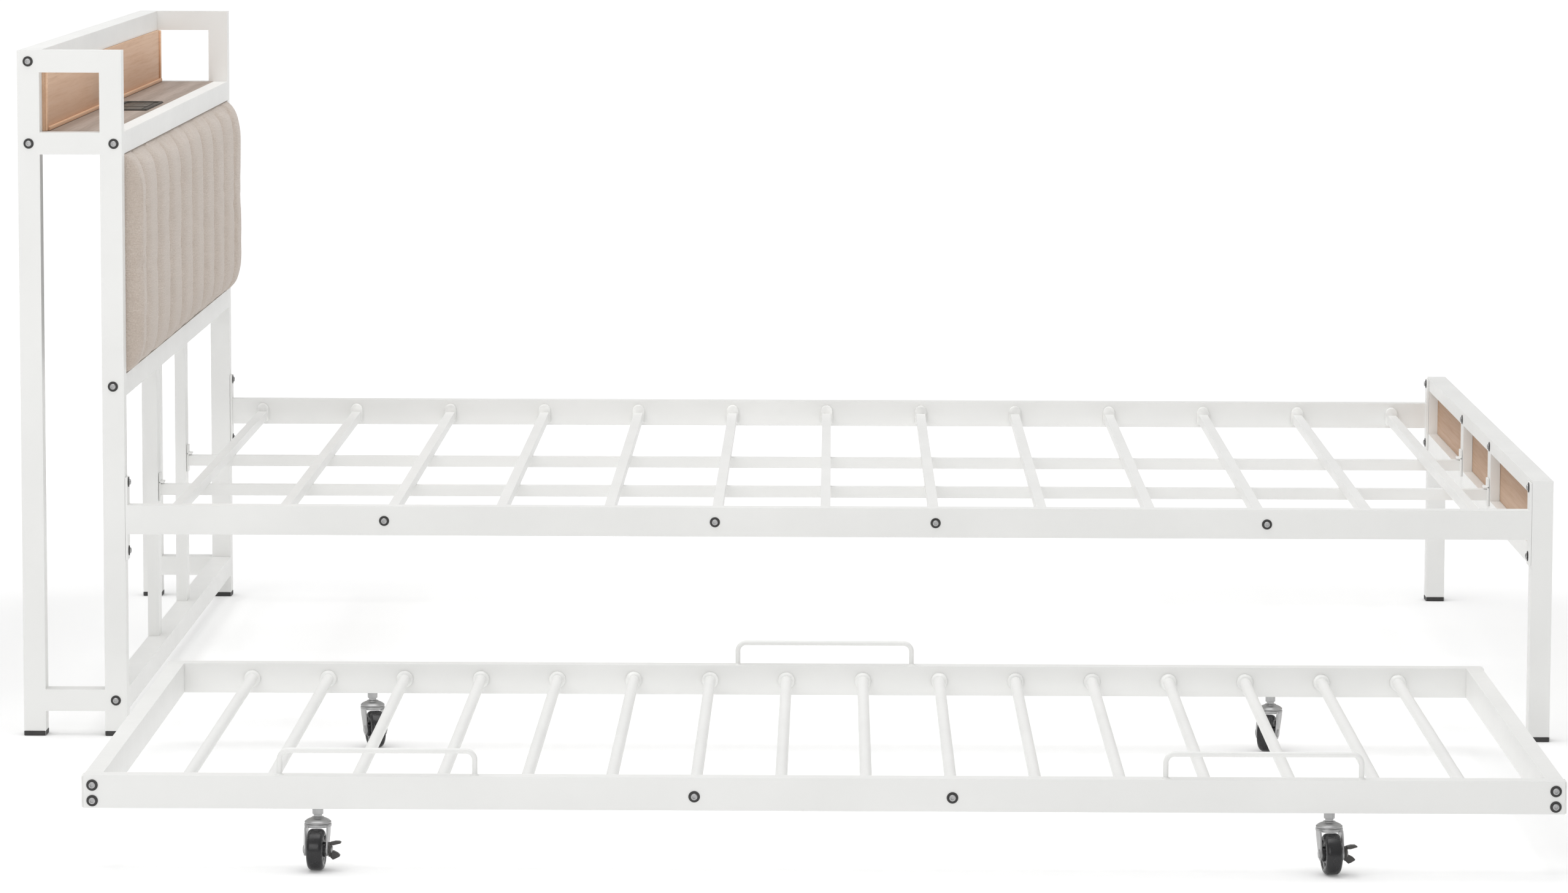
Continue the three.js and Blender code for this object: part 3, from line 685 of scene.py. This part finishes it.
def add_socket():
    """The station's bezel, its two outlets and its pair of charging ports, above the CAD body. The
    holes are flat black patches: painted shade.
    """
    low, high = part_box("power_socket")
    middle = mid((low, high))
    x, y, top = (middle.x - SLAT_MIDDLE_X) / MM, (middle.y - MIDDLE_Y) / MM, high.z / MM
    stand = Matrix.Translation(at(x, y, top))
    bezel = Shape()
    outer, inner = rounded(57, 221, 5, 6), rounded(48, 212, 3.5, 6)
    outer_top, inner_top = rounded(55.4, 219.4, 4.4, 6), rounded(50, 214, 4, 6)
    rings = [bezel.ring([(u, v, z) for u, v in outline], stand) for outline, z in (
        (outer, 0.0), (outer, 1.2), (outer_top, 2.0), (inner_top, 2.0), (inner, 1.2), (inner, 0.0))]
    bezel.bridge(zip(rings, rings[1:] + rings[:1]))
    bezel.piece("socket_bezel", SOCKET_DARK, "bed", "socket_plastic")
    inserts, slot_shade = Shape(), Shape()
    for centre in (-64, 12):
        spot = stand @ Matrix.Translation(Vector((0, centre, 0)) * MM)
        inserts.slab(rounded(36, 62, 4), *INSERT_RISE, spot, 0.4)
        # Flat black patches just above the insert stand for the outlet holes: painted shade.
        for u, v, w, h in ((-7, -8, 7.5, 2), (-7, 8, 7.5, 2), (8, 0, 4.6, 4.6)):
            slot_shade.slab(rounded(w, h, min(w, h) / 2 - 0.1, 3), *SLOT_SHADE_RISE,
                       spot @ Matrix.Translation(Vector((u, v, 0)) * MM))
    ports = stand @ Matrix.Translation(Vector((0, 72, 0)) * MM)
    inserts.slab(rounded(34, 40, 4), *INSERT_RISE, ports, 0.4)
    # The ports' openings are black patches too: painted shade.
    for v in (-9, 9):
        slot_shade.slab(rounded(14, 6, 0.8, 3), *SLOT_SHADE_RISE,
                   ports @ Matrix.Translation(Vector((0, v, 0)) * MM))
    inserts.piece("socket_outlets", SOCKET_INSERT, "bed", "socket_plastic")
    slot_shade.piece("socket_slot_shade", BLACK, "bed", "socket_plastic")


# ---- Upholstered pad ----------------------------------------------------------------------------

SEAM_COUNT = 9
SEAM_PITCH = 152.0
PAD_ROLL = 62.0
PAD_END_ROLL = 22.0
PAD_SHOULDER = 7.0
CROWN_DEPTH = 9.0
PAD_CLEAR = 2.5
END_CROWN = 46.0       # how far past the outer seams the crown takes to fill out
CROWN_POWER = 3.2
PUCKER_REACH = 16.0
COLUMN_STEPS = 18
COLUMN_GAP = 1.2
LINING_THICK = 1.6
FRAMES = 20
CAP_MOVE = 3.2 * MM


def spread(low, high, roll, steps, inner):
    """Samples of a length, close together where its two ends roll over."""
    curl = [roll * (1 - math.cos(math.pi / 2 * i / steps)) for i in range(steps)]
    near = [low + c for c in curl]
    far = [high - c for c in curl][::-1]
    span = high - low - 2 * roll
    return near + [low + roll + span * i / inner for i in range(inner + 1)] + far


def rolled(distance, roll):
    """How full the pad is, 0 to 1, at a distance in from an edge that rolls over."""
    if distance >= roll:
        return 1.0
    return (1 - (1 - distance / roll) ** 2.3) ** (1 / 2.1)


def pad_columns(low, high):
    """Places across the pad, crowded beside each seam."""
    seams = [(i - (SEAM_COUNT - 1) / 2) * SEAM_PITCH for i in range(SEAM_COUNT)]
    columns = [y for y in spread(low, high, PAD_END_ROLL, 6, 2)
               if y < seams[0] - 12 or y > seams[-1] + 12]
    for left, right in zip([low + PAD_END_ROLL] + seams, seams + [high - PAD_END_ROLL]):
        for i in range(COLUMN_STEPS + 1):
            share = 0.5 - 0.5 * math.cos(math.pi * i / COLUMN_STEPS)
            columns.append(left + (right - left) * (0.6 * share + 0.4 * i / COLUMN_STEPS))
    columns = sorted(columns)
    kept = [columns[0]]
    for y in columns[1:]:
        if y - kept[-1] > COLUMN_GAP or any(abs(y - s) < 0.01 for s in seams):
            if y - kept[-1] <= COLUMN_GAP:
                kept.pop()
            kept.append(y)
    return kept, seams


def quads(bm, grid, flip=False):
    """Faces between neighbouring lines of a grid of vertices."""
    for left, right in zip(grid, grid[1:]):
        for k in range(len(left) - 1):
            corners = (left[k], right[k], right[k + 1], left[k + 1])
            bm.faces.new(corners[::-1] if flip else corners)


def make_pad():
    """Foam under a sewn cover: nine seams, and a crown between each pair."""
    low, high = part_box("headboard_pad")
    y0, y1 = (low.y - MIDDLE_Y) / MM + 0.4, (high.y - MIDDLE_Y) / MM - 0.4
    z0, z1 = low.z / MM + 0.2, high.z / MM - 0.2
    back = (low.x - SLAT_MIDDLE_X) / MM + LINING_THICK + 0.2
    depth = (high.x - low.x) / MM - LINING_THICK - PAD_CLEAR
    columns, seams = pad_columns(y0, y1)
    rows = spread(z0, z1, PAD_ROLL, 9, 22)
    bm = bmesh.new()
    pins = bm.verts.layers.float.new("pin")
    grid = []
    for y in columns:
        line = []
        seam_gap = min(abs(y - s) for s in seams)
        half = END_CROWN if y < seams[0] or y > seams[-1] else SEAM_PITCH / 2
        crown = 1 - (1 - min(seam_gap / half, 1.0)) ** CROWN_POWER
        for z in rows:
            edge = min(rolled(z - z0, PAD_ROLL), rolled(z1 - z, PAD_ROLL))
            edge *= min(rolled(y - y0, PAD_END_ROLL), rolled(y1 - y, PAD_END_ROLL))
            height = PAD_SHOULDER + (depth - PAD_SHOULDER) * edge
            height -= CROWN_DEPTH * (1 - crown) * min(1.0, 0.35 + edge)
            pucker = math.exp(-seam_gap / PUCKER_REACH) * min(1.0, edge * 2)
            height += 1.1 * pucker * noise.noise(Vector((y * 0.012, z * 0.085, 4.0)))
            height += 0.9 * edge * noise.noise(Vector((y * 0.018, z * 0.014, 9.0)))
            vert = bm.verts.new(at(back + max(height, PAD_SHOULDER * 0.6), y, z))
            vert[pins] = 1.0 if seam_gap < 0.01 or edge < 0.05 else 0.0
            line.append(vert)
        grid.append(line)
    quads(bm, grid)
    back_x = SLAT_MIDDLE_X + back * MM
    behind = [[bm.verts.new(Vector((back_x, v.co.y, v.co.z))) for v in line] for line in grid]
    for line in behind:
        for vert in line:
            vert[pins] = 1.0
    quads(bm, behind, flip=True)
    rims = [[line[0] for line in g] + g[-1][1:] + [line[-1] for line in g[-2::-1]]
            + g[0][-2:0:-1] for g in (grid, behind)]
    for k in range(len(rims[0])):
        nxt = (k + 1) % len(rims[0])
        bm.faces.new((rims[0][nxt], rims[0][k], rims[1][k], rims[1][nxt]))
    bmesh.ops.recalc_face_normals(bm, faces=bm.faces)
    mesh = bpy.data.meshes.new("headboard_pad_cover")
    bm.to_mesh(mesh)
    bm.free()
    pad = bpy.data.objects.new("headboard_pad_cover", mesh)
    bpy.context.scene.collection.objects.link(pad)
    mesh.materials.append(FABRIC)
    mesh.polygons.foreach_set("use_smooth", [True] * len(mesh.polygons))
    inflate(pad)
    finer = pad.modifiers.new("finer", "SUBSURF")
    finer.levels = finer.render_levels = 1
    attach(pad, "bed")
    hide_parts("headboard_pad")


def inflate(pad):
    """Lets the cover swell between its sewn lines, as cloth under pressure."""
    mesh = pad.data
    start = [v.co.copy() for v in mesh.vertices]
    group = pad.vertex_groups.new(name="sewn")
    values = mesh.attributes["pin"].data
    for i, item in enumerate(values):
        if item.value > 0:
            group.add([i], item.value, "REPLACE")
    cloth = pad.modifiers.new("cover", "CLOTH")
    setting = cloth.settings
    setting.quality = 6
    setting.mass = 0.3
    setting.tension_stiffness = setting.compression_stiffness = 20
    setting.shear_stiffness = 8
    setting.bending_stiffness = 0.6
    setting.use_pressure = True
    setting.uniform_pressure_force = 4
    setting.shrink_min = -0.02
    setting.vertex_group_mass = "sewn"
    setting.effector_weights.gravity = 0
    cloth.collision_settings.use_collision = False
    scene = bpy.context.scene
    for number in range(1, FRAMES + 1):
        scene.frame_set(number)
    settled = pad.evaluated_get(bpy.context.evaluated_depsgraph_get()).data
    places = [v.co.copy() for v in settled.vertices]
    pad.modifiers.remove(cloth)
    scene.frame_set(1)
    for vert, old, new in zip(mesh.vertices, start, places):
        move = new - old
        if move.length > CAP_MOVE:
            move *= CAP_MOVE / move.length
        vert.co = old + move
    mesh.update()


STAPLES = 24
STAPLE_INSET = 20


def add_lining():
    """The board behind the foam with its dark lining, and the staples round its edge."""
    low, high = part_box("headboard_pad")
    x = (low.x - SLAT_MIDDLE_X) / MM
    y0, y1 = (low.y - MIDDLE_Y) / MM + 1, (high.y - MIDDLE_Y) / MM - 1
    z0, z1 = low.z / MM + 1, high.z / MM - 1
    lining = Shape()
    lining.block((x, y0, z0), (x + LINING_THICK, y1, z1), 0.5)
    lining.piece("headboard_pad_lining", LINING, "bed", "pad_fabric")
    staples = Shape()
    for z in (z0 + 9, z1 - 9):
        for i in range(STAPLES):
            y = y0 + STAPLE_INSET + (y1 - y0 - 2 * STAPLE_INSET) * i / (STAPLES - 1)
            staples.block((x - 0.35, y - 5, z - 0.4), (x + 0.2, y + 5, z + 0.4), 0.25, 1)
    staples.piece("headboard_pad_staples", ZINC, "bed", "zinc_steel")


# ---- Trundle ------------------------------------------------------------------------------------

SLAT_WALL = 1.5
WIRE_BEND = 11.0 * MM

def add_trundle_slats():
    """Round tubes, each with a moulded bush at both ends."""
    for i, name in enumerate(T_SLATS, 1):
        low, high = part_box(name)
        centre = mid((low, high))
        radius = (high.z - low.z) / 2 / MM
        length = (high.y - low.y) / MM
        stand = facing(Vector((centre.x, low.y, centre.z)), (0, 1, 0))
        bar = Shape()
        bore = radius - SLAT_WALL
        bar.lathe([(bore, 0), (radius, 0), (radius, length), (bore, length)], stand, 28, ring=True)
        bar.piece(f"trundle_slat_tube_{i:02d}", WHITE, "trundle", "white_steel", stands_for=(name,))
        for start, side in ((0.0, "near"), (length, "far")):
            bush = Shape()
            way = 1 if side == "near" else -1
            seat = facing(Vector((centre.x, low.y + start * MM, centre.z)), (0, way, 0))
            bush.lathe([(radius - 0.1, 0.1), (11.2, 0.1), (11.4, 0.6), (11.2, 5.5), (10.4, 8.6),
                        (9.2, 9.8), (radius - 0.1, 10.2)], seat, 28, ring=True)
            bush.piece(f"trundle_bush_{side}_{i:02d}", WHITE_PLASTIC, "trundle", "white_steel")


def add_retainers():
    """Bent wire loops that keep the mattress in place."""
    for name in ("retainer_near_head", "retainer_near_foot", "retainer_far"):
        low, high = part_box(name)
        radius = (high.y - low.y) / 2 / MM
        centre = mid((low, high))
        x0, x1 = low.x + radius * MM, high.x - radius * MM
        hub = high.z - radius * MM - WIRE_BEND
        path = [(x0, low.z), *arc((x0 + WIRE_BEND, hub), WIRE_BEND, 180, 90, 12),
                *arc((x1 - WIRE_BEND, hub), WIRE_BEND, 90, 0, 12), (x1, low.z)]
        points = [Vector((x, centre.y, z)) for x, z in path]
        wire = Shape()
        wire.tube(points, radius, 18)
        rail_top = T_NEAR[1].z
        for x in (x0, x1):
            wire.lathe([(radius, -0.2), (radius + 1.9, 0.0), (radius + 1.3, 0.9), (radius, 1.6)],
                       Matrix.Translation((x, centre.y, rail_top)), 18, ring=True)
        wire.piece(f"{name}_wire", WHITE, "trundle", "white_steel", stands_for=(name,))


def add_end_plugs():
    """Moulded plugs in the open ends of the two long rails."""
    for box, word in ((T_NEAR, "near"), (T_FAR, "far")):
        centre = mid(box)
        width, height = (box[1].y - box[0].y) / MM, (box[1].z - box[0].z) / MM
        for x, sign, end in ((box[0].x, -1, "head"), (box[1].x, 1, "foot")):
            plug = Shape()
            stand = Matrix.Translation((x, centre.y, centre.z)) @ Matrix(
                ((0, 0, sign, 0), (1, 0, 0, 0), (0, 1, 0, 0), (0, 0, 0, 1)))
            plug.slab(rounded(width - 3.3, height - 3.3, 1.5), -14, 0.2, stand)
            plug.slab(rounded(width - 0.2, height - 0.2, 3), 0.0, 2.2, stand, 1.0, 3)
            plug.piece(f"trundle_plug_{word}_{end}", WHITE_PLASTIC, "trundle", "white_steel")


# ---- Casters: built about the stem, on the floor, with the axle along local X -------------------

CASTER_PLACES = {
    "near_head": (-612, T_NEAR, 177), "near_foot": (612, T_NEAR, 187),
    "far_head": (-617, T_FAR, 198), "far_foot": (608, T_FAR, 162),
}
TRAIL = 15.0
AXLE_Z = 25.0
HUB = (TRAIL, AXLE_Z)
SPOKES = 6
CHEEKS = ((-14.5, -12.3), (12.3, 14.5))
ALONG_X = Matrix(((0, 0, 1, 0), (1, 0, 0, 0), (0, 1, 0, 0), (0, 0, 0, 1)))


def on_axle(stand):
    """The frame of the axle, with local Z along it."""
    return stand @ Matrix.Translation(Vector((0, *HUB)) * MM) @ ALONG_X


def caster_wheel(key, stand):
    """The tyre and its hub, with thin spokes on both faces."""
    axle = on_axle(stand)
    shoulder = [(19.8 + 5.2 * math.sin(a), 4.8 + 5.2 * math.cos(a)) for a in
                [math.pi / 2 * i / 7 for i in range(8)]]
    right = [(4.35, 12.0), (8.2, 12.0), (9.0, 11.3), (9.2, 9.6), (16.4, 9.0), (17.4, 9.4),
             (18.2, 10.0)] + shoulder
    left = [(r, -h) for r, h in right[::-1]]
    tyre = Shape()
    tyre.lathe(right + left, axle, 72, ring=True)
    for side in (-1, 1):
        for k in range(SPOKES):
            turn = Matrix.Rotation(2 * math.pi * k / SPOKES, 4, "Z")
            tyre.block((8.6, -0.9, 9.2 * side - 0.6), (17.0, 0.9, 9.2 * side + 0.6), 0.4, 1,
                       matrix=axle @ turn)
    tyre.piece(f"caster_{key}_tyre", BLACK, f"wheel_{key}", "wheel_plastic", 30,
               (f"caster_wheel_{key}",))


def caster_fork(key, stand, braked):
    """Two cheeks under a bridge, the swivel's rings, the stem and the axle."""
    fork = Shape()
    side = stand @ ALONG_X
    cheek = [(-9.5, 53.5), (-8.6, 49), (-7.6, 44)] + arc(HUB, 8, 212, 378, 18)
    cheek += [(18.4, 44), (15.5, 50), (13.0, 53.5)]
    for low, high in CHEEKS:
        fork.slab(cheek, low, high, side, 0.55)
    fork.slab([(-14.4, -9.4), (14.4, -9.4), (14.4, 12.9), (-14.4, 12.9)], 51.1, 53.4, stand, 0.5)
    rings = [(4.0, 50.9), (15.9, 50.9), (16.5, 51.4), (16.6, 53.8), (16.4, 54.5), (15.4, 55.0),
             (15.3, 55.5), (16.1, 55.9), (16.3, 56.7), (15.7, 57.6), (13.4, 59.4), (10.6, 60.8),
             (8.2, 61.6), (7.4, 62.6), (5.4, 63.0), (5.0, 63.4), (5.0, 66.0), (6.4, 66.0),
             (6.7, 66.6), (6.7, 73.4), (5.0, 73.6), (5.0, 103.9)]
    fork.lathe(rings, stand, 56)
    axle = on_axle(stand)
    end = -18.3 if braked else -14.5
    fork.lathe([(4.0, end), (4.0, 14.6)], axle, 28)
    fork.lathe([(5.6, 14.4), (5.6, 15.1), (4.6, 16.0), (1.5, 16.3)], axle, 28)
    fork.lathe([(1.5, end - 1.8), (4.4, end - 1.5), (5.3, end - 0.6), (5.3, end + 0.1)], axle, 28)
    fork.piece(f"caster_{key}_yoke", ZINC, f"fork_{key}", "zinc_steel", 32, (f"caster_fork_{key}",))


def caster_pedal(key, stand):
    """The brake rocker: a plate on the axle with a lower and an upper toe piece."""
    pedal = Shape()
    side = stand @ ALONG_X
    rocker = arc(HUB, 7.4, 175, 262, 8)
    rocker += [(19.5, 16.4), (22.6, 24.0), (22.8, 31.0), (20.8, 35.7), (11.5, 33.0)]
    inner = arc(HUB, 4.35, 0, 360, 24)[:-1]
    pedal_plate(pedal, rocker, inner, -18.2, -15.4, side)
    flat = stand @ Matrix(((1, 0, 0, 0), (0, 0, -1, 0), (0, 1, 0, 0), (0, 0, 0, 1)))
    lower = [(-17.4, 24.0), (-21.5, 23.4), (-26.5, 20.8), (-28.8, 18.2), (-28.3, 16.8),
             (-24.0, 14.6), (-20.4, 13.0), (-17.4, 15.8)]
    upper = [(-17.4, 31.2), (-21.5, 32.4), (-26.0, 32.7), (-30.2, 33.6), (-30.8, 34.6),
             (-28.6, 36.0), (-23.5, 36.1), (-17.4, 34.6)]
    pedal.slab(lower, -(TRAIL + 4), -(TRAIL - 5), flat, 1.0, 3)
    pedal.slab(upper, -(TRAIL + 8), -(TRAIL - 2), flat, 0.9, 3)
    pedal.piece(f"caster_{key}_pedal", DARK, f"pedal_{key}", "pedal_plastic", 40,
                (f"brake_pedal_{key}",))


def pedal_plate(shape, outline, hole, low, high, matrix):
    """A plate with a hole: the outline is matched to the hole by direction."""
    hub = Vector(HUB)
    outer = []
    for u, v in hole:
        way = (Vector((u, v)) - hub).normalized()
        outer.append(reach_outline(hub, way, outline))
    rings = [shape.ring([(u, v, z) for u, v in points], matrix)
             for points, z in ((hole, low), (outer, low), (outer, high), (hole, high))]
    shape.bridge(zip(rings, rings[1:] + rings[:1]))


def reach_outline(start, way, outline):
    """Where a ray from inside a closed outline leaves it."""
    best = None
    for (ax, ay), (bx, by) in zip(outline, outline[1:] + outline[:1]):
        along = Vector((bx - ax, by - ay))
        cross = way.x * along.y - way.y * along.x
        if abs(cross) < 1e-9:
            continue
        gap = Vector((ax, ay)) - start
        distance = (gap.x * along.y - gap.y * along.x) / cross
        share = (gap.x * way.y - gap.y * way.x) / cross
        inside = distance > 0 and -1e-6 <= share <= 1 + 1e-6
        if inside and (best is None or distance < best):
            best = distance
    return tuple(start + way * best)


def add_casters():
    """Four casters, each turned its own way. The two near ones have a brake rocker."""
    for key, (x, rail, turn) in CASTER_PLACES.items():
        y = (mid(rail).y - MIDDLE_Y) / MM
        stand = Matrix.Translation(at(x, y, 0)) @ Matrix.Rotation(math.radians(turn), 4, "Z")
        braked = key.startswith("near")
        caster_wheel(key, stand)
        caster_fork(key, stand, braked)
        if braked:
            caster_pedal(key, stand)


# ---- Making everything --------------------------------------------------------------------------

make_camera()
make_studio()
WHITE = powder_coat()
WHITE_PLASTIC = moulded("white_plastic", srgb(226, 226, 224), 0.4)
OAK = oak_board("oak_board", 0.87)
# A brighter copy of the oak: painted light on the back board, which sits in shade.
OAK_BACK_PAINTED_LIGHT = oak_board("oak_back_board_painted_light", 1.22)
OAK_LIGHT = oak_board("oak_lipping", 1.4)
SHELF = shelf_wood()
BLACK = moulded("black_plastic", (0.009, 0.009, 0.01), 0.26)
DARK = moulded("dark_plastic", (0.05, 0.047, 0.044), 0.42)
SOCKET_INSERT = moulded("socket_insert", srgb(70, 62, 52), 0.45)
RUBBER = moulded("dark_rubber", (0.035, 0.034, 0.033), 0.62)
ZINC = plated("zinc_steel", (0.46, 0.46, 0.46), 0.36)
BOLT_STEEL = plated("bolt_steel", (0.5, 0.5, 0.5), 0.42)
SOCKET_DARK = moulded("socket_plastic", srgb(46, 39, 30), 0.5)
FABRIC = pad_cloth()
LINING = lining_cloth()

dress_frame()
add_bolts()
add_foot_caps()
add_slat_holders()
add_centre_hooks()
add_board_trims()
add_socket()
add_lining()
make_pad()
add_trundle_slats()
add_retainers()
add_end_plugs()
add_casters()
